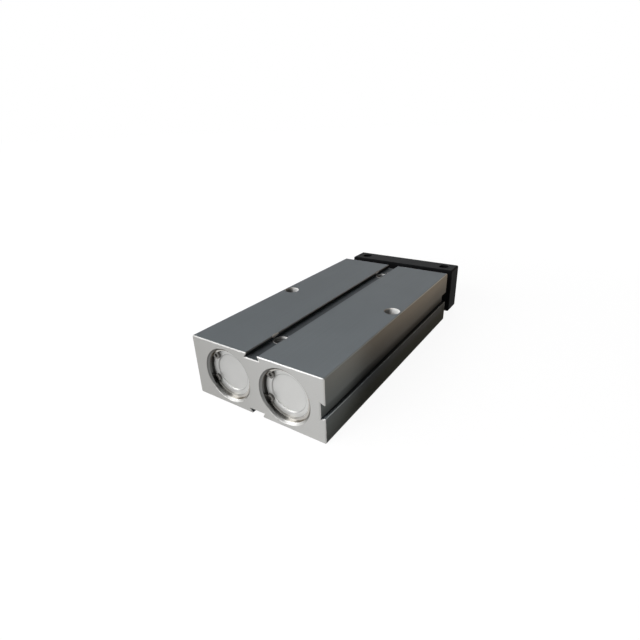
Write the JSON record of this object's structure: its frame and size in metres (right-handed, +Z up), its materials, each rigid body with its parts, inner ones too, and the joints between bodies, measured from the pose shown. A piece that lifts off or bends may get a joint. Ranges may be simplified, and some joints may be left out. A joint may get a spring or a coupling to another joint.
{
  "type": "twin rod pneumatic cylinder",
  "caption": "Twin rod air cylinder with a slotted block body, retained end covers, guided rods and pistons, a black end plate and a stroke adjusting bolt.",
  "frame": {"origin": "centre of the body's two mounting holes, on the underside of the body at mid-length", "axes": "+Y along the bores the way the rods come out, +Z up through the mounting holes, +X across the body"},
  "size_m": [0.073, 0.1628, 0.031],
  "materials": {
    "anodised_body": "matte hard anodised, end faces bare and machined",
    "machined_aluminium": "fine turned",
    "black_plate": "black anodised, satin",
    "rod_chrome": "ground and hard chromed",
    "spring_steel": "phosphated spring steel",
    "fastener_steel": "zinc plated",
    "fastener_black": "black oxide",
    "seal_rubber": "matte",
    "urethane": "satin",
    "bush_bronze": "oiled sintered bronze",
    "bonded_magnet": "matte",
    "guide_plastic": "matte"
  },
  "bodies": {
    "cylinder": {"cylinder_body": "anodised_body", "rear_cover_left": "machined_aluminium", "rear_cover_o_ring_left": "seal_rubber", "rear_retaining_ring_left": "spring_steel", "rear_bumper_left": "seal_rubber", "rod_cover_left": "machined_aluminium", "rod_cover_o_ring_left": "seal_rubber", "front_retaining_ring_left": "spring_steel", "front_bumper_left": "seal_rubber", "rod_bush_left": "bush_bronze", "rod_seal_left": "seal_rubber", "rear_cover_right": "machined_aluminium", "rear_cover_o_ring_right": "seal_rubber", "rear_retaining_ring_right": "spring_steel", "rear_bumper_right": "seal_rubber", "rod_cover_right": "machined_aluminium", "rod_cover_o_ring_right": "seal_rubber", "front_retaining_ring_right": "spring_steel", "front_bumper_right": "seal_rubber", "rod_bush_right": "bush_bronze", "rod_seal_right": "seal_rubber"},
    "rod_carriage": {"end_plate": "black_plate", "piston_left": "machined_aluminium", "piston_seal_left": "seal_rubber", "piston_magnet_left": "bonded_magnet", "piston_wear_ring_left": "guide_plastic", "piston_nut_left": "fastener_steel", "piston_rod_left": "rod_chrome", "rod_screw_left": "fastener_black", "piston_right": "machined_aluminium", "piston_seal_right": "seal_rubber", "piston_magnet_right": "bonded_magnet", "piston_wear_ring_right": "guide_plastic", "piston_nut_right": "fastener_steel", "piston_rod_right": "rod_chrome", "rod_screw_right": "fastener_black", "adjuster_lock_nut": "fastener_steel"},
    "stroke_adjuster": {"adjusting_bolt": "fastener_steel", "adjuster_bumper": "urethane"}
  },
  "joints": [
    {"name": "rod_slide", "type": "slide", "parent": "cylinder", "child": "rod_carriage", "axis": [0, 1, 0], "range_m": [0, 0.07]},
    {"name": "adjuster_slide", "type": "slide", "parent": "rod_carriage", "child": "stroke_adjuster", "axis": [0, -1, 0], "range_m": [0, 0.0036]}
  ]
}
